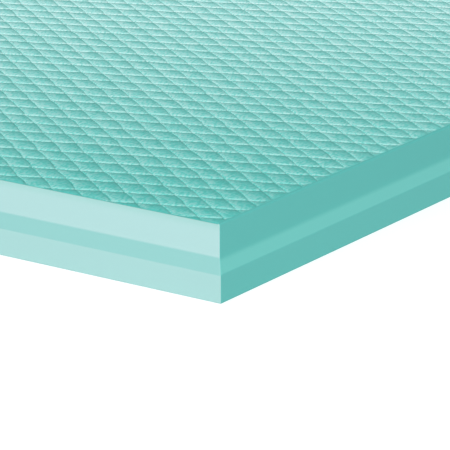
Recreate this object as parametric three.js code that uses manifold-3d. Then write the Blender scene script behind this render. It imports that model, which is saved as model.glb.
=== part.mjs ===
// Extruded polystyrene insulation board.
//
// One rigid foam board, lying flat with its embossed face up. Its four edges share one profile,
// from the underside up: an upright lower face, a shallow sloping shoulder, and an upright upper
// face that stands back from the lower one. Where two edges meet, the profiles mitre.
//
// Millimetres, +Z up. +X runs along the board and +Y across it. The origin is the middle of the
// underside.

import * as THREE from 'three';
import { mergeVertices } from 'three/addons/utils/BufferGeometryUtils.js';
import Module from 'manifold-3d';

const wasm = await Module();
wasm.setup();

// The board, measured over its lower faces
const BOARD_LENGTH = 1250;
const BOARD_WIDTH = 600;
const BOARD_THICKNESS = 50;

// The edge profile
const LOWER_FACE_HEIGHT = 18;
const SHOULDER_HEIGHT = 10.5;
const SHOULDER_SET_BACK = 2.5;

// How far the soft bend between shoulder and upper face reaches along each of them
const SHOULDER_BEND = 3;

// The rounded arrises; the sawn ends are sharper along the top than the planed long edges
const LONG_EDGE_TOP_ARRIS_RADIUS = 1.2;
const END_TOP_ARRIS_RADIUS = 0.4;
const BOTTOM_ARRIS_RADIUS = 0.4;

// Steps that a curve of the profile is drawn with; a round arris takes twice as many
const CURVE_STEPS = 3;

// How far each extruded section runs past the ends that the other section cuts
const CUT_ALLOWANCE = 10;

const FOAM_COLOUR = 0x65bcb5;
const FOAM_ROUGHNESS = 0.55;

/** Points of one edge, from the middle of the underside out and up to the middle of the top. */
function edgePoints(halfSpan, topArrisRadius) {
  const upperFace = halfSpan - SHOULDER_SET_BACK;
  const shoulderTop = LOWER_FACE_HEIGHT + SHOULDER_HEIGHT;
  const bendAlongSlope = SHOULDER_BEND / Math.hypot(SHOULDER_SET_BACK, SHOULDER_HEIGHT);

  const edge = new THREE.Path();
  edge.moveTo(0, 0);
  edge.lineTo(halfSpan - BOTTOM_ARRIS_RADIUS, 0);
  edge.absarc(
    halfSpan - BOTTOM_ARRIS_RADIUS, BOTTOM_ARRIS_RADIUS, BOTTOM_ARRIS_RADIUS,
    -Math.PI / 2, 0, false,
  );
  edge.lineTo(halfSpan, LOWER_FACE_HEIGHT);
  edge.lineTo(
    upperFace + SHOULDER_SET_BACK * bendAlongSlope,
    shoulderTop - SHOULDER_HEIGHT * bendAlongSlope,
  );
  edge.quadraticCurveTo(upperFace, shoulderTop, upperFace, shoulderTop + SHOULDER_BEND);
  edge.lineTo(upperFace, BOARD_THICKNESS - topArrisRadius);
  edge.absarc(
    upperFace - topArrisRadius, BOARD_THICKNESS - topArrisRadius, topArrisRadius,
    0, Math.PI / 2, false,
  );
  edge.lineTo(0, BOARD_THICKNESS);
  return edge.getPoints(CURVE_STEPS);
}

/** The board's whole section across one pair of opposite edges. */
function sectionAcross(span, topArrisRadius) {
  const oneEdge = edgePoints(span / 2, topArrisRadius);
  const otherEdge = oneEdge.slice(1, -1).map((point) => new THREE.Vector2(-point.x, point.y));
  return new THREE.Shape([...oneEdge, ...otherEdge.reverse()]);
}

/** A section extruded both ways from the middle of the board; across, up and along are unit axes. */
function extrudedSection(section, length, across, up, along) {
  const depth = length + 2 * CUT_ALLOWANCE;
  const geometry = new THREE.ExtrudeGeometry(section, {
    depth,
    bevelEnabled: false,
  });
  geometry.translate(0, 0, -depth / 2);
  geometry.applyMatrix4(new THREE.Matrix4().makeBasis(across, up, along));
  return geometry;
}

/** A closed geometry as a solid that can be cut. */
function toSolid(geometry) {
  const bare = geometry.clone();
  bare.deleteAttribute('normal');
  bare.deleteAttribute('uv');
  const merged = mergeVertices(bare);
  return new wasm.Manifold(new wasm.Mesh({
    numProp: 3,
    vertProperties: merged.attributes.position.array,
    triVerts: new Uint32Array(merged.index.array),
  }));
}

/** A solid as a flat-shaded geometry. */
function toGeometry(solid) {
  const mesh = solid.getMesh();
  const geometry = new THREE.BufferGeometry();
  geometry.setAttribute('position', new THREE.BufferAttribute(mesh.vertProperties, 3));
  geometry.setIndex(new THREE.BufferAttribute(mesh.triVerts, 1));
  geometry.computeVertexNormals();
  return geometry;
}

/** The foam board: the section of its long edges, cut by the section of its ends. */
function insulationBoard() {
  const alongX = new THREE.Vector3(1, 0, 0);
  const alongY = new THREE.Vector3(0, 1, 0);
  const up = new THREE.Vector3(0, 0, 1);
  const acrossWidth = sectionAcross(BOARD_WIDTH, LONG_EDGE_TOP_ARRIS_RADIUS);
  const acrossLength = sectionAcross(BOARD_LENGTH, END_TOP_ARRIS_RADIUS);
  const longEdges = extrudedSection(acrossWidth, BOARD_LENGTH, alongY, up, alongX);
  const endEdges = extrudedSection(acrossLength, BOARD_WIDTH, alongX, up, alongY.clone().negate());
  const board = toSolid(longEdges).intersect(toSolid(endEdges));

  const foam = new THREE.MeshStandardMaterial({
    color: FOAM_COLOUR,
    roughness: FOAM_ROUGHNESS,
    metalness: 0,
  });
  const mesh = new THREE.Mesh(toGeometry(board), foam);
  mesh.name = 'insulation_board';
  return mesh;
}

const group = new THREE.Group();
group.add(insulationBoard());

export default group;
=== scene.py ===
"""Extruded polystyrene insulation board, lying flat on a pale studio floor.

One rigid foam board: its top face is embossed with slanted waffle cells, and its four edges share a
profile with an upright lower face, a shallow sloping shoulder and an upper face that stands back.
Lengths are in metres unless a name says otherwise, and the origin is the middle of the underside.
"""

import logging
import math
from dataclasses import dataclass, field
from enum import Enum
from typing import Any

import bmesh
import bpy
import numpy as np
from mathutils import Matrix, Vector


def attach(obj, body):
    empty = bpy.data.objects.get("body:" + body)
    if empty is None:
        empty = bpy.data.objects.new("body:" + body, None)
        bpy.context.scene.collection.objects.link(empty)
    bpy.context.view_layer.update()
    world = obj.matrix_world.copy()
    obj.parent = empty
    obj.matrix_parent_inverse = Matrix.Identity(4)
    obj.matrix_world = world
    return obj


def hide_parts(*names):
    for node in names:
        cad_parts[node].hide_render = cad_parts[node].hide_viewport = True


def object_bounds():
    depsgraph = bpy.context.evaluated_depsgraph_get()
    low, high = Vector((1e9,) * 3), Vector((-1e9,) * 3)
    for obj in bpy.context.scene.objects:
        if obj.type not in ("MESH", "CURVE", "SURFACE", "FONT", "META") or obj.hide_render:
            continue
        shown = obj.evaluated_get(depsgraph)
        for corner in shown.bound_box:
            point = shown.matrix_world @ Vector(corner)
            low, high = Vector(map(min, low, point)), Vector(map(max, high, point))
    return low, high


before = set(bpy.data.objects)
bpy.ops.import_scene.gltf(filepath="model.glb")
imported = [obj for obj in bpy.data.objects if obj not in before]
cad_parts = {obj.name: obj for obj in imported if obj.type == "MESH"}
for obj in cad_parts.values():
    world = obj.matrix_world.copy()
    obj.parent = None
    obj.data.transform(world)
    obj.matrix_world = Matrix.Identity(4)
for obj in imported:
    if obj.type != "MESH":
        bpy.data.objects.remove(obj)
CAD_LOW, CAD_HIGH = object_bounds()

MM = 0.001
BOARD_NODE = "insulation_board"
BODY = "root"

# Marks kept at each point of the top: painted highlight on the cell rims, painted shade in the grooves,
# and how near the point lies to its cell's lit front
RIM_HIGHLIGHT = "pale_rim"
GROOVE_SHADE = "painted_shade"
FRONT = "front_of_cell"

# Numbers nearer than this count as equal
CLOSE = 1e-6

# The middle of a noise's values, and how strongly the foam's plastic bends light
NOISE_MIDDLE = 0.5
REFRACTIVE_INDEX = 1.45

# The sockets of a Mix node that carry colours
MIX_FIRST = 6
MIX_SECOND = 7
MIX_RESULT = 2

Triple = tuple[float, float, float]
Colour = Triple
Curve = tuple[tuple[float, ...], tuple[float, ...]]

WHITE: Colour = (1.0, 1.0, 1.0)

log = logging.getLogger("insulation_board")


class Value:
    """One number that varies over a surface: a node's output with Python's operators."""

    def __init__(self, shader: "Shader", socket: bpy.types.NodeSocket) -> None:
        """Keeps the output.

        Args:
            shader: The shader whose nodes the arithmetic joins.
            socket: The output that carries the number.
        """
        self.shader = shader
        self.socket = socket

    def maths(self, operation: str, first: Any, second: Any) -> "Value":
        """Joins two numbers with one Math node.

        Args:
            operation: The Math node's operation.
            first: A number or a Value.
            second: A number or a Value.

        Returns:
            The result as a new Value.
        """
        node = self.shader.node("ShaderNodeMath", {"operation": operation}, {0: first, 1: second})
        return Value(self.shader, node.outputs[0])

    def __add__(self, other: Any) -> "Value":
        """Adds."""
        return self.maths("ADD", self, other)

    def __radd__(self, other: Any) -> "Value":
        """Adds, with the number first."""
        return self.maths("ADD", other, self)

    def __sub__(self, other: Any) -> "Value":
        """Subtracts."""
        return self.maths("SUBTRACT", self, other)

    def __rsub__(self, other: Any) -> "Value":
        """Subtracts from a number."""
        return self.maths("SUBTRACT", other, self)

    def __mul__(self, other: Any) -> "Value":
        """Multiplies."""
        return self.maths("MULTIPLY", self, other)

    def ramp(self, low: float, high: float) -> "Value":
        """Goes straight from 0 at low to 1 at high.

        Args:
            low: The value that gives 0.
            high: The value that gives 1.

        Returns:
            The share, kept between 0 and 1.
        """
        inputs = {"Value": self, "From Min": low, "From Max": high}
        node = self.shader.node("ShaderNodeMapRange", None, inputs)
        return Value(self.shader, node.outputs["Result"])

    def rise(self, low: float, high: float) -> "Value":
        """Goes smoothly from 0 at low to 1 at high.

        Args:
            low: The value that gives 0.
            high: The value that gives 1.

        Returns:
            The smooth step.
        """
        inputs = {"Value": self, "From Min": low, "From Max": high}
        node = self.shader.node("ShaderNodeMapRange", {"interpolation_type": "SMOOTHSTEP"}, inputs)
        return Value(self.shader, node.outputs["Result"])


class Shader:
    """A material whose nodes are added one by one, around one Principled shader."""

    def __init__(self, name: str) -> None:
        """Makes the material.

        Args:
            name: The material's name.
        """
        self.material = bpy.data.materials.new(name)
        self.material.use_nodes = True
        self.tree = self.material.node_tree
        self.surface = self.tree.nodes["Principled BSDF"]
        self.place = self.node("ShaderNodeTexCoord").outputs["Object"]

    def node(
        self, kind: str, settings: dict[str, Any] | None = None, inputs: dict[Any, Any] | None = None
    ) -> bpy.types.Node:
        """Adds a node.

        Args:
            kind: The node's type.
            settings: The node's own properties, set first.
            inputs: Socket name or number, with a constant, an output or a Value for it.

        Returns:
            The new node.
        """
        made = self.tree.nodes.new(kind)
        for name, setting in (settings or {}).items():
            setattr(made, name, setting)
        for socket, given in (inputs or {}).items():
            self.feed(made.inputs[socket], given)
        return made

    def feed(self, socket: bpy.types.NodeSocket, given: Any) -> None:
        """Links an output to a socket, or sets the socket's constant.

        Args:
            socket: The input.
            given: A Value, an output socket, or a constant.
        """
        if isinstance(given, Value):
            given = given.socket
        if isinstance(given, bpy.types.NodeSocket):
            self.tree.links.new(given, socket)
        elif socket.type == "RGBA":
            socket.default_value = (*given, 1.0)
        else:
            socket.default_value = given

    def noise(self, size: float, stretch: Triple = (1.0, 1.0, 1.0)) -> Value:
        """Soft random variation around one half.

        Args:
            size: The size of its largest features.
            stretch: How much longer the features are along X, Y and Z.

        Returns:
            The variation, from about 0.2 to 0.8.
        """
        sizes = tuple(size * share for share in stretch)
        scaled = self.node("ShaderNodeVectorMath", {"operation": "DIVIDE"}, {0: self.place, 1: sizes})
        inputs = {"Vector": scaled.outputs[0], "Scale": 1.0, "Detail": 2.0}
        made = self.node("ShaderNodeTexNoise", None, inputs)
        return Value(self, made.outputs["Fac"])

    def along(self, axis: str) -> Value:
        """The distance from the origin along X, Y or Z."""
        parts = self.node("ShaderNodeSeparateXYZ", None, {0: self.place})
        return Value(self, parts.outputs[axis])

    def stored(self, name: str) -> Value:
        """A number that the mesh keeps at each of its points."""
        return Value(self, self.node("ShaderNodeAttribute", {"attribute_name": name}).outputs["Fac"])

    def blend(self, first: Any, second: Any, share: Value) -> bpy.types.NodeSocket:
        """Mixes two colours.

        Args:
            first: The colour where the share is 0.
            second: The colour where the share is 1.
            share: How much of the second colour shows.

        Returns:
            The mixed colour's output.
        """
        inputs = {0: share, MIX_FIRST: first, MIX_SECOND: second}
        mixed = self.node("ShaderNodeMix", {"data_type": "RGBA"}, inputs)
        return mixed.outputs[MIX_RESULT]

    def roughen(self, relief: Value, depth: float, strength: float) -> None:
        """Raises the surface's fine relief.

        Args:
            relief: The relief's height, from 0 to 1.
            depth: How far 1 stands above 0.
            strength: How much of it shows.
        """
        inputs = {"Strength": strength, "Distance": depth, "Height": relief}
        bump = self.node("ShaderNodeBump", None, inputs)
        self.feed(self.surface.inputs["Normal"], bump.outputs["Normal"])

    def dress(self, colour: Any, roughness: Any, gloss: float) -> bpy.types.Material:
        """Sets the surface's finish.

        Args:
            colour: The base colour or its output.
            roughness: A number or a Value.
            gloss: The specular level.

        Returns:
            The finished material.
        """
        self.feed(self.surface.inputs["Base Color"], colour)
        self.feed(self.surface.inputs["Roughness"], roughness)
        self.feed(self.surface.inputs["Specular IOR Level"], gloss)
        self.feed(self.surface.inputs["IOR"], REFRACTIVE_INDEX)
        return self.material


class Face(Enum):
    """The board's kinds of surface, each with a material of its own; the sawn ends' paler colour is
    painted sheen.
    """

    SKIN = 0
    LONG_EDGE = 1
    SAWN_END = 2


@dataclass(frozen=True)
class FoamSkin:
    """The closed, slightly glossy skin that the rollers emboss."""

    # deep is the skin's own colour; the paler colour is the same skin with painted sheen, reached
    # further from the front left corner
    deep: Colour = (0.050, 0.508, 0.456)
    sheened: Colour = (0.290, 0.810, 0.765)
    # The dark colour painted as shade into the grooves and pits
    painted_shade: Colour = (0.030, 0.340, 0.295)
    # rim and pale_rim are painted highlight on the cell rims that face the light, near the corner and
    # further in
    rim: Colour = (0.280, 0.620, 0.580)
    pale_rim: Colour = (0.660, 0.890, 0.875)
    # Painted highlight specks on the lit front of each cell, near the corner and further in
    speck_glint: Colour = (0.300, 0.560, 0.550)
    sheened_speck_glint: Colour = (0.560, 0.760, 0.760)
    sheen_start: float = 0.08
    sheen_end: float = 0.67
    sheen_heading: float = math.radians(34.6)
    mottle_size: float = 38.0 * MM
    mottle_strength: float = 0.12
    speckle_size: float = 1.5 * MM
    speckle_stretch: Triple = (1.9, 1.1, 1.0)
    # The pits are small random spots of painted shade, in the grooves' colour
    pit_limits: tuple[float, float] = (0.38, 0.46)
    pit_strength: float = 0.40
    speck_limits: tuple[float, float] = (0.49, 0.57)
    speck_strength: float = 0.72
    # The highlight breakup lets noise weaken the painted rim highlight here and there
    highlight_breakup_limits: tuple[float, float] = (0.38, 0.54)
    highlight_breakup_strength: float = 0.6
    grain_size: float = 1.1 * MM
    grain_share: float = 0.4
    relief_depth: float = 0.3 * MM
    relief_strength: float = 0.7
    roughness: float = 0.42
    roughness_spread: float = 0.2
    gloss: float = 0.35

    def painted_sheen(self, shader: Shader) -> Value:
        """How much painted sheen the skin has, from the front left corner inwards.

        Args:
            shader: The material's shader.

        Returns:
            From 0 at the corner to 1 well inside the board.
        """
        # The painted sheen grows along one heading from the front left corner, standing in for the
        # whiter reflection of the farther skin
        along = (shader.along("X") - float(CAD_LOW.x)) * math.cos(self.sheen_heading)
        across = (shader.along("Y") - float(CAD_LOW.y)) * math.sin(self.sheen_heading)
        return (along + across).ramp(self.sheen_start, self.sheen_end)

    def material(self) -> bpy.types.Material:
        """Builds the finish.

        Returns:
            Mottled colour that pales with painted sheen, painted shade in the grooves and pits,
            painted highlight specks and rims, and a fine grain.
        """
        shader = Shader("foam_skin")
        mottle = shader.noise(self.mottle_size)
        speckle = shader.noise(self.speckle_size, self.speckle_stretch)
        grain = shader.noise(self.grain_size)
        painted_sheen = self.painted_sheen(shader)

        patches = (mottle - NOISE_MIDDLE) * self.mottle_strength
        # Painted sheen: the colour pales with distance from the front left corner, mottled at random
        colour = shader.blend(self.deep, self.sheened, painted_sheen + patches)
        # Painted shade in the grooves, darkest behind and beside each cell
        colour = shader.blend(colour, self.painted_shade, shader.stored(GROOVE_SHADE))

        # Painted shade in small pits, at random
        pits = (1 - speckle.rise(*self.pit_limits)) * self.pit_strength
        colour = shader.blend(colour, self.painted_shade, pits)

        # Painted highlight specks, strongest towards the front of each cell where the light falls
        speck_glints = speckle.rise(*self.speck_limits) * shader.stored(FRONT) * self.speck_strength
        colour = shader.blend(colour, shader.blend(self.speck_glint, self.sheened_speck_glint, painted_sheen), speck_glints)

        # Painted highlight on the cell rims that face the light, broken up by noise
        highlight_breakup = speckle.rise(*self.highlight_breakup_limits) * self.highlight_breakup_strength + (1 - self.highlight_breakup_strength)
        rim_highlights = shader.stored(RIM_HIGHLIGHT) * highlight_breakup
        colour = shader.blend(colour, shader.blend(self.rim, self.pale_rim, painted_sheen), rim_highlights)

        relief = speckle * (1 - self.grain_share) + grain * self.grain_share
        shader.roughen(relief, self.relief_depth, self.relief_strength)
        roughness = self.roughness + (speckle - NOISE_MIDDLE) * self.roughness_spread
        return shader.dress(colour, roughness, self.gloss)


@dataclass(frozen=True)
class CutFace:
    """A cut face of the foam, whose colour changes a little from its lower face to its upper one."""

    name: str
    lower: Colour
    # The shoulder band's colour is painted light and shade: lighter than the faces beside it on the long
    # edges, darker on the sawn ends
    shoulder: Colour
    upper: Colour
    rind: Colour
    shoulder_start: float = 18.0 * MM
    shoulder_end: float = 28.5 * MM
    start_softness: float = 0.5 * MM
    end_softness: float = 0.8 * MM
    rind_depth: float = 6.0 * MM
    streak_stretch: Triple = (30.0, 30.0, 1.0)
    streak_size: float = 2.5 * MM
    streak_strength: float = 0.12
    cell_size: float = 0.8 * MM
    cell_share: float = 0.7
    relief_depth: float = 0.12 * MM
    relief_strength: float = 0.5
    roughness: float = 0.6
    roughness_spread: float = 0.1
    gloss: float = 0.35

    def material(self) -> bpy.types.Material:
        """Builds the finish.

        Returns:
            Three level bands of colour, with streaks that run along the cut over fine foam cells.
        """
        shader = Shader(self.name)
        streak = shader.noise(self.streak_size, self.streak_stretch)
        cells = shader.noise(self.cell_size)
        height = shader.along("Z")
        top = float(CAD_HIGH.z)
        start, end = self.shoulder_start, self.shoulder_end
        on_shoulder = height.rise(start - self.start_softness, start + self.start_softness)
        on_upper = height.rise(end - self.end_softness, end + self.end_softness)
        under_skin = height.rise(top - self.rind_depth, top)
        uneven = (streak - NOISE_MIDDLE) * self.streak_strength
        # Painted light and shade on the sloping shoulder
        colour = shader.blend(self.lower, self.shoulder, on_shoulder + uneven)
        colour = shader.blend(colour, self.upper, on_upper)
        colour = shader.blend(colour, self.rind, under_skin + uneven)
        relief = streak * (1 - self.cell_share) + cells * self.cell_share
        shader.roughen(relief, self.relief_depth, self.relief_strength)
        roughness = self.roughness + (cells - NOISE_MIDDLE) * self.roughness_spread
        return shader.dress(colour, roughness, self.gloss)


# The long edge's shoulder is painted lighter, as light from above falling on the slope; its soft upper
# boundary is painted shade in the crease above it
PLANED_EDGE = CutFace(
    name="planed_edge",
    lower=(0.100, 0.440, 0.409),
    shoulder=(0.135, 0.499, 0.459),
    upper=(0.089, 0.429, 0.397),
    rind=(0.087, 0.425, 0.393),
    shoulder_start=18.6 * MM,
    shoulder_end=27.3 * MM,
    end_softness=2.0 * MM,
    rind_depth=1.5 * MM,
)

# The sawn end's paler, greyer colours are painted sheen, as from the light that falls on that end; its
# shoulder is painted darker, as a slope that takes less of that sheen
SAWN_END = CutFace(
    name="sheened_sawn_end",
    lower=(0.235, 0.403, 0.394),
    shoulder=(0.170, 0.366, 0.353),
    upper=(0.264, 0.421, 0.417),
    rind=(0.226, 0.403, 0.384),
)


@dataclass(frozen=True)
class StudioFloor:
    """The pale floor that the board lies on."""

    colour: Colour = (0.9, 0.9, 0.9)
    glow: float = 0.15
    roughness: float = 1.0
    gloss: float = 0.0
    half_size: float = 30.0
    gap: float = 0.05 * MM

    def build(self) -> bpy.types.Object:
        """Lays the floor just under the board.

        Returns:
            The floor.
        """
        mesh = bpy.data.meshes.new("studio_floor")
        signs = ((-1, -1), (1, -1), (1, 1), (-1, 1))
        corners = [(x * self.half_size, y * self.half_size, -self.gap) for x, y in signs]
        mesh.from_pydata(corners, [], [(0, 1, 2, 3)])
        floor = bpy.data.objects.new("studio_floor", mesh)
        bpy.context.scene.collection.objects.link(floor)
        shader = Shader("studio_floor")
        shader.feed(shader.surface.inputs["Emission Color"], WHITE)
        shader.feed(shader.surface.inputs["Emission Strength"], self.glow)
        mesh.materials.append(shader.dress(self.colour, self.roughness, self.gloss))
        return floor


class Surface:
    """Points and faces gathered into one mesh."""

    def __init__(self) -> None:
        """Starts empty."""
        self.points: list[tuple[float, float, float]] = []
        self.faces: list[tuple[int, ...]] = []
        self.kinds: list[int] = []
        self.notes: dict[str, tuple[int, np.ndarray]] = {}

    def add_points(self, points: Any) -> list[int]:
        """Adds points.

        Args:
            points: Rows of x, y and z.

        Returns:
            The new points' numbers.
        """
        start = len(self.points)
        self.points.extend(tuple(map(float, point)) for point in points)
        return list(range(start, len(self.points)))

    def note(self, name: str, start: int, numbers: np.ndarray) -> None:
        """Keeps a number for each of a run of points; the others keep 0.

        Args:
            name: What the number is called in the material.
            start: The first point's number.
            numbers: One number for each point of the run.
        """
        self.notes[name] = (start, numbers)

    def add_face(self, corners: Any, kind: Face) -> None:
        """Adds a face.

        Args:
            corners: Point numbers, anticlockwise from outside.
            kind: The face's finish.
        """
        self.faces.append(tuple(corners))
        self.kinds.append(kind.value)

    def heading(self, index: int, span: tuple[float, float]) -> float:
        """The direction of a point from the middle of a rectangle, squared up by its half sizes."""
        x, y, _ = self.points[index]
        return math.atan2(y / span[1], x / span[0])

    def closed_loop(
        self, loop: list[int], span: tuple[float, float]
    ) -> tuple[list[int], list[float]]:
        """Puts a loop's points in the order of their directions.

        Args:
            loop: The loop's point numbers.
            span: Half the length and half the width, which square the directions up.

        Returns:
            The point numbers, with the first one again at the end, and their directions.
        """
        headings = {index: self.heading(index, span) for index in loop}
        ordered = sorted(loop, key=headings.get)
        turns = [headings[index] for index in ordered]
        return [*ordered, ordered[0]], [*turns, turns[0] + math.tau]

    def stitch(self, outer: list[int], inner: list[int], span: tuple[float, float]) -> None:
        """Fills the flat strip between two loops, one inside the other.

        The strip has the skin's finish beside the ends and the edge's finish beside the long edges.

        Args:
            outer: The outer loop's point numbers.
            inner: The inner loop's point numbers.
            span: Half the length and half the width, which square the directions up.
        """
        outside, outer_turns = self.closed_loop(outer, span)
        inside, inner_turns = self.closed_loop(inner, span)
        i = j = 0
        while i < len(outer) or j < len(inner):
            x, y, _ = self.points[outside[i]]
            kind = Face.LONG_EDGE if abs(y) / span[1] > abs(x) / span[0] else Face.SKIN
            outer_left, inner_left = i < len(outer), j < len(inner)
            if outer_left and (not inner_left or outer_turns[i + 1] <= inner_turns[j + 1]):
                self.add_face((outside[i], outside[i + 1], inside[j]), kind)
                i += 1
            else:
                self.add_face((outside[i], inside[j + 1], inside[j]), kind)
                j += 1

    def build(self, name: str, materials: list[bpy.types.Material], crease: float) -> bpy.types.Object:
        """Makes the object.

        Args:
            name: The object's name.
            materials: The materials in the order of Face.
            crease: Edges that bend more than this stay sharp.

        Returns:
            The object, in the scene.
        """
        mesh = bpy.data.meshes.new(name)
        mesh.from_pydata(self.points, [], self.faces)
        for material in materials:
            mesh.materials.append(material)
        mesh.polygons.foreach_set("material_index", self.kinds)
        mesh.polygons.foreach_set("use_smooth", [True] * len(self.faces))
        mesh.set_sharp_from_angle(angle=crease)
        for note, (start, numbers) in self.notes.items():
            kept = np.zeros(len(self.points), dtype=np.float32)
            kept[start:start + len(numbers)] = numbers
            mesh.attributes.new(note, "FLOAT", "POINT").data.foreach_set("value", kept)
        mesh.validate()
        made = bpy.data.objects.new(name, mesh)
        bpy.context.scene.collection.objects.link(made)
        return made


@dataclass(frozen=True)
class EdgeProfile:
    """The upright profile that all four edges share, and the rounded corners where they meet."""

    lower_face: float = 18.0 * MM
    shoulder: float = 10.5 * MM
    set_back: float = 2.5 * MM
    bend: float = 3.0 * MM
    bottom_arris: float = 0.4 * MM
    arc_steps: int = 4
    support: float = 0.25 * MM

    def underside_inset(self) -> float:
        """How far in the underside's flat begins."""
        return self.bottom_arris + self.support

    def top_inset(self, top_arris: float) -> float:
        """How far in the top's flat begins."""
        return self.set_back + top_arris + self.support

    def points(self, thickness: float, top_arris: float) -> list[tuple[float, float]]:
        """The profile from the underside up.

        Args:
            thickness: The board's thickness.
            top_arris: The radius of the arris between the upper face and the top.

        Returns:
            Pairs of how far in a point lies and how high.
        """
        made = [(self.underside_inset(), 0.0)]
        quarter = [step / self.arc_steps * math.pi / 2 for step in range(self.arc_steps + 1)]
        for turn in quarter:
            inset = self.bottom_arris * (1 - math.sin(turn))
            made.append((inset, self.bottom_arris * (1 - math.cos(turn))))
        made.append((0.0, self.bottom_arris + self.support))
        made.extend(self.shoulder_points())
        made.append((self.set_back, thickness - top_arris - self.support))
        for turn in quarter:
            inset = self.set_back + top_arris * (1 - math.cos(turn))
            made.append((inset, thickness - top_arris * (1 - math.sin(turn))))
        made.append((self.top_inset(top_arris), thickness))
        return made

    def on_slope(self, distance: float) -> tuple[float, float]:
        """The point on the shoulder's slope at a distance from its lower edge."""
        share = distance / math.hypot(self.set_back, self.shoulder)
        return self.set_back * share, self.lower_face + self.shoulder * share

    def shoulder_points(self) -> list[tuple[float, float]]:
        """The crisp lower edge of the shoulder, its slope and the soft bend above it.

        Returns:
            Pairs of how far in a point lies and how high.
        """
        slope = math.hypot(self.set_back, self.shoulder)
        top = self.lower_face + self.shoulder
        bend = (self.on_slope(slope - self.bend), (self.set_back, top), (self.set_back, top + self.bend))
        made = [
            (0.0, self.lower_face - self.support),
            (0.0, self.lower_face),
            self.on_slope(self.support),
            self.on_slope(slope - self.bend - self.support),
        ]
        for step in range(self.arc_steps + 1):
            t = step / self.arc_steps
            weights = ((1 - t) ** 2, 2 * t * (1 - t), t**2)
            made.append(tuple(sum(w * p[axis] for w, p in zip(weights, bend)) for axis in (0, 1)))
        made.append((self.set_back, top + self.bend + self.support))
        return made


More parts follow.
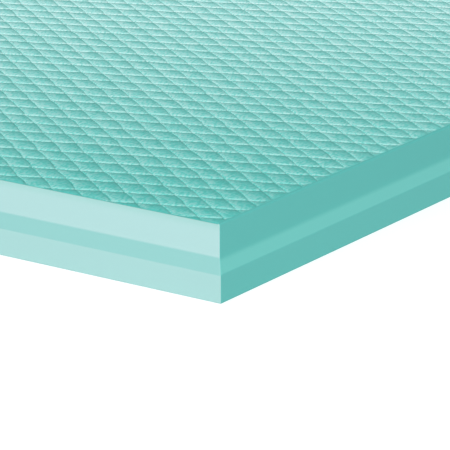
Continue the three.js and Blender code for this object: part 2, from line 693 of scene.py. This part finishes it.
@dataclass(frozen=True)
class Waffle:
    """The slanted cells that are rolled into the top face: pillows between scored grooves."""

    short_side: float = 16.0 * MM
    long_side: float = 24.4 * MM
    short_side_angle: float = math.radians(-68.0)
    long_side_angle: float = math.radians(52.6)
    crossing: tuple[float, float] = (-550.9 * MM, -214.4 * MM)
    groove_depth: float = 0.60 * MM
    score_depth: float = 0.40 * MM
    fades: tuple[float, float] = (2.0 * MM, 2.5 * MM)
    roundness: float = 4.0
    wobble: float = 0.55 * MM
    wobble_lengths: tuple[float, float] = (20.0 * MM, 90.0 * MM)
    wobble_waves: int = 8
    row_bulge: float = 1.2 * MM
    column_bulge: float = 0.8 * MM
    end_drop: float = 0.45 * MM
    unevenness: float = 0.14
    rim_unevenness: float = 0.2
    seed: int = 11
    numbered_cells: int = 512

    # Where each cell has points, as shares of its sides from the front left corner
    stations: tuple[float, ...] = (0.0, 0.05, 0.16, 0.5, 0.84, 0.95)

    # Shares of a cell's side, and how strong the marking is at each: painted highlight on the rims that
    # face the light, painted shade in the grooves
    front_rim_highlight: Curve = ((0.0, 0.05, 0.16, 0.5), (0.4, 1.0, 0.35, 0.0))
    side_rim_highlight: Curve = ((0.0, 0.05, 0.16, 0.5), (0.3, 0.6, 0.45, 0.0))
    back_groove_shade: Curve = ((0.0, 0.05, 0.5, 0.84, 0.95), (0.7, 0.0, 0.0, 0.5, 1.0))
    side_groove_shade: Curve = ((0.0, 0.05, 0.5, 0.84, 0.95), (0.1, 0.0, 0.0, 0.35, 0.65))

    def axes(self) -> np.ndarray:
        """The two cell sides as the columns of a matrix, the long side first."""
        sides = ((self.long_side, self.long_side_angle), (self.short_side, self.short_side_angle))
        return np.array([[length * math.cos(turn), length * math.sin(turn)] for length, turn in sides]).T

    def flat_cells(self, half: np.ndarray) -> tuple[np.ndarray, np.ndarray]:
        """The cells as a flat net that covers a rectangle about the origin.

        Args:
            half: Half the rectangle's length and width.

        Returns:
            The points' x and y, and each face's four point numbers.
        """
        axes = self.axes()
        corners = np.array([(x, y) for x in (-1, 1) for y in (-1, 1)]) * half
        in_cells = np.linalg.solve(axes, (corners - self.crossing).T).T
        low = np.floor(in_cells.min(0)).astype(int)
        high = np.ceil(in_cells.max(0)).astype(int)
        cells = np.stack(np.meshgrid(*(np.arange(a, b) for a, b in zip(low, high))), -1).reshape(-1, 2)
        middles = (cells + 0.5) @ axes.T + self.crossing
        reach = np.abs(axes).sum(1) / 2
        cells = cells[(np.abs(middles) < half + reach).all(1)]

        count = len(self.stations)
        steps = np.stack(np.meshgrid(np.arange(count), np.arange(count)), -1).reshape(-1, 2)
        squares = (cells[:, None, :] * count + steps[None, :, :]).reshape(-1, 2)
        around = np.array([(0, 0), (0, 1), (1, 1), (1, 0)])
        net = (squares[:, None, :] + around[None, :, :]).reshape(-1, 2)
        unique, faces = np.unique(net, axis=0, return_inverse=True)
        places = unique // count + np.array(self.stations)[unique % count]
        return places @ axes.T + self.crossing, faces.reshape(-1, 4)

    def relief(self, points: np.ndarray, half: np.ndarray) -> np.ndarray:
        """How deep the surface lies under the cell crowns.

        Args:
            points: Rows of x and y.
            half: Half the length and width of the embossed area.

        Returns:
            The depth of each point, 0 or more.
        """
        cell, along = self.in_cells(points)
        from_middle = np.abs(2 * along - 1)
        pillow = 1 - from_middle**self.roundness
        height = pillow[:, 0] * pillow[:, 1]
        uneven = self.cell_numbers(cell)
        tilt = (uneven[:, 1:] * (2 * along - 1)).sum(1)
        height = height * (1 - self.unevenness * uneven[:, 0] + self.unevenness * tilt)
        score = np.clip((from_middle.max(1) - 1) / (2 * self.stations[1]) + 1, 0, 1)
        depth = self.groove_depth * np.clip(1 - height, 0, None) + self.score_depth * score
        by_the_end = 1 - np.clip((half[0] - np.abs(points[:, 0])) / self.fades[0], 0, 1)
        return depth * self.fading(points, half) + self.end_drop * by_the_end

    def in_cells(self, points: np.ndarray) -> tuple[np.ndarray, np.ndarray]:
        """Which cell each point lies in, and where in it.

        Args:
            points: Rows of x and y.

        Returns:
            The cell's two counts, and the two distances from its front left corner, from 0 to 1.
        """
        places = np.linalg.solve(self.axes(), (points - self.crossing).T).T
        whole = np.round(places)
        places = np.where(np.abs(places - whole) < CLOSE, whole, places)
        cell = np.floor(places).astype(int)
        return cell, places - cell

    def markings(self, points: np.ndarray, half: np.ndarray) -> dict[str, np.ndarray]:
        """How the skin's colour changes over a cell.

        Args:
            points: Rows of x and y.
            half: Half the length and width of the embossed area.

        Returns:
            For each point, how strong the painted highlight on the rims and the painted shade in the
            grooves are there, and how far towards its cell's front left corner it lies.
        """
        cell, along = self.in_cells(points)
        uneven = self.cell_numbers(cell)
        strength = self.fading(points, half)
        # Painted highlight on the front and side rims, which face the light
        rim_strength = 1 - self.rim_unevenness * (1 - uneven[:, 1:])
        front_rim_highlight = np.interp(along[:, 0], *self.front_rim_highlight) * rim_strength[:, 0]
        side_rim_highlight = np.interp(along[:, 1], *self.side_rim_highlight) * rim_strength[:, 1]
        # Painted shade in the grooves, strongest on the back and right of each cell, which face away
        # from the light
        back_groove_shade = np.interp(along[:, 0], *self.back_groove_shade)
        side_groove_shade = np.interp(along[:, 1], *self.side_groove_shade)
        return {
            RIM_HIGHLIGHT: np.maximum(front_rim_highlight, side_rim_highlight) * strength,
            GROOVE_SHADE: np.maximum(back_groove_shade, side_groove_shade) * strength,
            FRONT: (1 - along.mean(1)) * strength,
        }

    def fading(self, points: np.ndarray, half: np.ndarray) -> np.ndarray:
        """The embossing's strength: 0 at the edge of the top face and 1 a little way in.

        Args:
            points: Rows of x and y.
            half: Half the length and width of the embossed area.

        Returns:
            The strength at each point.
        """
        share = np.clip((half - np.abs(points)) / self.fades, 0, 1).min(1)
        return share * share * (3 - 2 * share)

    def cell_numbers(self, cell: np.ndarray) -> np.ndarray:
        """Three fixed random numbers for each cell.

        Args:
            cell: Rows of a cell's two counts.

        Returns:
            One number from 0 to 1 and two from -1 to 1 for each row.
        """
        size = self.numbered_cells
        table = np.random.default_rng(self.seed).random((size, size, 3))
        picked = table[cell[:, 0] % size, cell[:, 1] % size]
        return picked * np.array([1.0, 2.0, 2.0]) - np.array([0.0, 1.0, 1.0])

    def drift(self, points: np.ndarray) -> np.ndarray:
        """How far the rolled pattern wanders from a perfect one.

        Args:
            points: Rows of x and y.

        Returns:
            The shift of each point in x and y.
        """
        random = np.random.default_rng(self.seed + 1)
        shift = np.zeros_like(points)
        for _ in range(self.wobble_waves):
            length = random.uniform(*self.wobble_lengths)
            turn = random.uniform(0, math.pi)
            phase = random.uniform(0, math.tau, 2)
            along = points @ np.array([math.cos(turn), math.sin(turn)]) * math.tau / length
            shift += np.sin(along[:, None] + phase)
        return shift * self.wobble / math.sqrt(self.wobble_waves) + self.bulge(points)

    def bulge(self, points: np.ndarray) -> np.ndarray:
        """How far each cell's sides bow out, the front towards the corner and the side away from it.

        Args:
            points: Rows of x and y.

        Returns:
            The shift of each point in x and y.
        """
        long_side, short_side = self.axes().T
        _, along = self.in_cells(points)
        bow = np.sin(math.pi * along)
        forward = -long_side / np.linalg.norm(long_side) * self.row_bulge
        sideways = short_side / np.linalg.norm(short_side) * self.column_bulge
        return bow[:, 1:] * forward + bow[:, :1] * sideways


# A point's x, y and z, and the finish of the face that follows it
LoopPoint = tuple[float, float, float, Face]


@dataclass(frozen=True)
class InsulationBoard:
    """The foam board: its edges, underside and embossed top as one closed mesh."""

    length: float
    width: float
    thickness: float
    profile: EdgeProfile = field(default_factory=EdgeProfile)
    waffle: Waffle = field(default_factory=Waffle)
    skin: FoamSkin = field(default_factory=FoamSkin)
    long_edge: CutFace = PLANED_EDGE
    sheened_sawn_end: CutFace = SAWN_END
    end_arris: float = 0.4 * MM
    edge_arris: float = 1.2 * MM
    corner: float = 0.6 * MM
    corner_steps: int = 3
    edge_pitch: float = 31.0 * MM
    end_margin: float = 0.3 * MM
    edge_margin: float = 0.5 * MM
    crease: float = math.radians(30)

    def half(self, end_inset: float, edge_inset: float) -> np.ndarray:
        """Half the length and width at two distances in, from the ends and from the long edges."""
        return np.array([self.length / 2 - end_inset, self.width / 2 - edge_inset])

    def loop(self, end: tuple[float, float], edge: tuple[float, float]) -> list[LoopPoint]:
        """One turn round the board, anticlockwise from above.

        Args:
            end: How far in the turn runs along the sawn ends, and how high.
            edge: The same along the long edges.

        Returns:
            The turn's points.
        """
        radius = self.corner
        centre = self.half(end[0], edge[0]) - radius
        heights = {Face.LONG_EDGE: edge[1], Face.SAWN_END: end[1]}
        sides = (Face.LONG_EDGE, Face.SAWN_END) * 2
        signs = ((1, 1), (-1, 1), (-1, -1), (1, -1))
        made = []
        for quarter, (sign, side) in enumerate(zip(signs, sides)):
            previous = sides[quarter - 1]
            for step in range(self.corner_steps + 1):
                turn = math.pi / 2 * (quarter + step / self.corner_steps)
                x = sign[0] * centre[0] + radius * math.cos(turn)
                y = sign[1] * centre[1] + radius * math.sin(turn)
                share = step / self.corner_steps
                z = heights[previous] * (1 - share) + heights[side] * share
                made.append((x, y, z, previous if share < 0.5 else side))
            made.extend(self.straight_run(made[-1], quarter, side, centre))
        return made

    def straight_run(
        self, start: LoopPoint, quarter: int, side: Face, centre: np.ndarray
    ) -> list[LoopPoint]:
        """Points along one side, between two rounded corners.

        Args:
            start: The last point of the corner before it.
            quarter: Which corner that is, from 0.
            side: The side's finish.
            centre: Half the distances between the corners' middles.

        Returns:
            The side's inner points.
        """
        x, y, z, _ = start
        axis = quarter % 2
        along_x, along_y = ((-1, 0), (0, -1), (1, 0), (0, 1))[quarter]
        run = 2 * centre[axis]
        pieces = round((self.length, self.width)[axis] / self.edge_pitch)
        support = self.profile.support
        stops = [support, *(run * step / pieces for step in range(1, pieces)), run - support]
        return [(x + along_x * stop, y + along_y * stop, z, side) for stop in stops]

    def add_edges(self, surface: Surface) -> list[int]:
        """Adds the underside and the four edges.

        Args:
            surface: Where they go.

        Returns:
            The point numbers of the uppermost turn, where the top's flat begins.
        """
        end_profile = self.profile.points(self.thickness - self.waffle.end_drop, self.end_arris)
        edge_profile = self.profile.points(self.thickness, self.edge_arris)
        loops = [self.loop(end, edge) for end, edge in zip(end_profile, edge_profile)]
        rings = [surface.add_points(point[:3] for point in loop) for loop in loops]
        kinds = [point[3] for point in loops[0]]
        surface.add_face(reversed(rings[0]), Face.SKIN)
        for low, high in zip(rings, rings[1:]):
            for j, kind in enumerate(kinds):
                after = (j + 1) % len(kinds)
                surface.add_face((low[j], low[after], high[after], high[j]), kind)
        return rings[-1]

    def add_top(self, surface: Surface, rim: list[int]) -> None:
        """Adds the embossed top face.

        Args:
            surface: Where it goes.
            rim: The point numbers that it joins.
        """
        end_inset = self.profile.top_inset(self.end_arris) + self.end_margin
        edge_inset = self.profile.top_inset(self.edge_arris) + self.edge_margin
        half = self.half(end_inset, edge_inset)
        points, faces = self.clipped_cells(half)
        lowered = self.waffle.relief(points, half)
        border = (half - np.abs(points)).min(1) < CLOSE
        moved = points + self.waffle.drift(points) * self.waffle.fading(points, half)[:, None]
        heights = self.thickness - lowered
        numbers = surface.add_points(np.column_stack([moved, heights]))
        for name, markings in self.waffle.markings(points, half).items():
            surface.note(name, numbers[0], markings)
        for face in faces:
            surface.add_face((numbers[corner] for corner in face), Face.SKIN)
        inner = [numbers[index] for index in np.flatnonzero(border)]
        surface.stitch(rim, inner, tuple(half))

    def clipped_cells(self, half: np.ndarray) -> tuple[np.ndarray, list[tuple[int, ...]]]:
        """The flat net of cells, cut off straight at the edge of the embossed area.

        Args:
            half: Half the area's length and width.

        Returns:
            The points' x and y, and the faces' point numbers.
        """
        points, faces = self.waffle.flat_cells(half)
        flat = bpy.data.meshes.new("flat_cells")
        flat.from_pydata([(x, y, 0.0) for x, y in points], [], faces.tolist())
        cut = bmesh.new()
        cut.from_mesh(flat)
        bpy.data.meshes.remove(flat)
        for axis in (0, 1):
            for sign in (-1, 1):
                outward = Vector((0.0, 0.0, 0.0))
                outward[axis] = sign
                bmesh.ops.bisect_plane(
                    cut,
                    geom=[*cut.verts, *cut.edges, *cut.faces],
                    dist=CLOSE,
                    plane_co=outward * half[axis],
                    plane_no=outward,
                    clear_outer=True,
                )
        cut.verts.index_update()
        places = np.array([vertex.co[:2] for vertex in cut.verts])
        corners = [tuple(vertex.index for vertex in face.verts) for face in cut.faces]
        cut.free()
        return places, corners

    def build(self) -> bpy.types.Object:
        """Makes the whole board and puts it in the place of the plain solid.

        Returns:
            The board.
        """
        surface = Surface()
        rim = self.add_edges(surface)
        self.add_top(surface, rim)
        finishes = {
            Face.SKIN: self.skin.material(),
            Face.LONG_EDGE: self.long_edge.material(),
            Face.SAWN_END: self.sheened_sawn_end.material(),
        }
        board = surface.build("foam_board", [finishes[kind] for kind in Face], self.crease)
        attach(board, BODY)
        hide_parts(BOARD_NODE)
        return board


@dataclass(frozen=True)
class Softbox:
    """A square soft light that looks at a point of the board."""

    name: str
    azimuth: float
    elevation: float
    distance: float
    size: float
    power: float
    colour: Colour = WHITE
    target: Triple = (-0.35, -0.1, 0.03)

    def build(self) -> bpy.types.Object:
        """Hangs the light; the azimuth is the side it stands on, anticlockwise from +X.

        Returns:
            The light.
        """
        turn, tilt = math.radians(self.azimuth), math.radians(self.elevation)
        away = Vector((math.cos(turn) * math.cos(tilt), math.sin(turn) * math.cos(tilt), math.sin(tilt)))
        lamp = bpy.data.lights.new(self.name, "AREA")
        lamp.size = self.size
        lamp.energy = self.power
        lamp.color = self.colour
        made = bpy.data.objects.new(self.name, lamp)
        made.location = Vector(self.target) + away * self.distance
        made.rotation_euler = away.to_track_quat("Z", "Y").to_euler()
        made.visible_camera = False
        bpy.context.scene.collection.objects.link(made)
        return made


@dataclass(frozen=True)
class Studio:
    """The pale floor, the soft lights and the even light all round."""

    floor: StudioFloor = field(default_factory=StudioFloor)
    surround: Colour = WHITE
    surround_strength: float = 0.45
    lights: tuple[Softbox, ...] = (
        Softbox("key_light", azimuth=198.0, elevation=30.0, distance=8.0, size=1.8, power=730.0),
    )

    def build(self) -> None:
        """Sets up the floor, the lights and the world."""
        self.floor.build()
        for light in self.lights:
            light.build()
        world = bpy.data.worlds.new("studio")
        world.use_nodes = True
        background = world.node_tree.nodes["Background"]
        background.inputs["Color"].default_value = (*self.surround, 1.0)
        background.inputs["Strength"].default_value = self.surround_strength
        bpy.context.scene.world = world
        bpy.context.scene.view_settings.view_transform = "Standard"
        log.info("studio: %d lights", len(self.lights))


@dataclass(frozen=True)
class PhotoCamera:
    """The camera at the photo's place, set by where the board's near corner shows."""

    heading: float = math.radians(34.61)
    tilt: float = math.radians(17.18)
    focal_pixels: float = 2800.0
    corner_distance: float = 1.709
    corner_pixel: tuple[float, float] = (220.6, 304.1)
    photo_size: float = 450.0
    sensor: float = 36.0

    def build(self) -> bpy.types.Object:
        """Makes the camera and gives it to the scene.

        Returns:
            The camera.
        """
        ahead = Vector(
            (
                math.cos(self.heading) * math.cos(self.tilt),
                math.sin(self.heading) * math.cos(self.tilt),
                -math.sin(self.tilt),
            )
        )
        right = Vector((math.sin(self.heading), -math.cos(self.heading), 0.0))
        up = right.cross(ahead)
        middle = self.photo_size / 2
        across = (self.corner_pixel[0] - middle) / self.focal_pixels * self.corner_distance
        down = (self.corner_pixel[1] - middle) / self.focal_pixels * self.corner_distance
        near_corner = Vector((CAD_LOW.x, CAD_LOW.y, CAD_LOW.z))
        lens = bpy.data.cameras.new("photo_camera")
        lens.sensor_width = self.sensor
        lens.lens = self.focal_pixels / self.photo_size * self.sensor
        made = bpy.data.objects.new("photo_camera", lens)
        made.location = near_corner - ahead * self.corner_distance - right * across + up * down
        made.rotation_euler = Matrix((right, up, -ahead)).transposed().to_euler()
        bpy.context.scene.collection.objects.link(made)
        bpy.context.scene.camera = made
        return made


def main() -> None:
    """Builds the camera, the studio and the board."""
    logging.basicConfig(level=logging.INFO, format="%(name)s: %(message)s")
    PhotoCamera().build()
    Studio().build()
    size = CAD_HIGH - CAD_LOW
    board = InsulationBoard(size.x, size.y, size.z).build()
    log.info("board: %d faces", len(board.data.polygons))


if __name__ == "__main__":
    main()
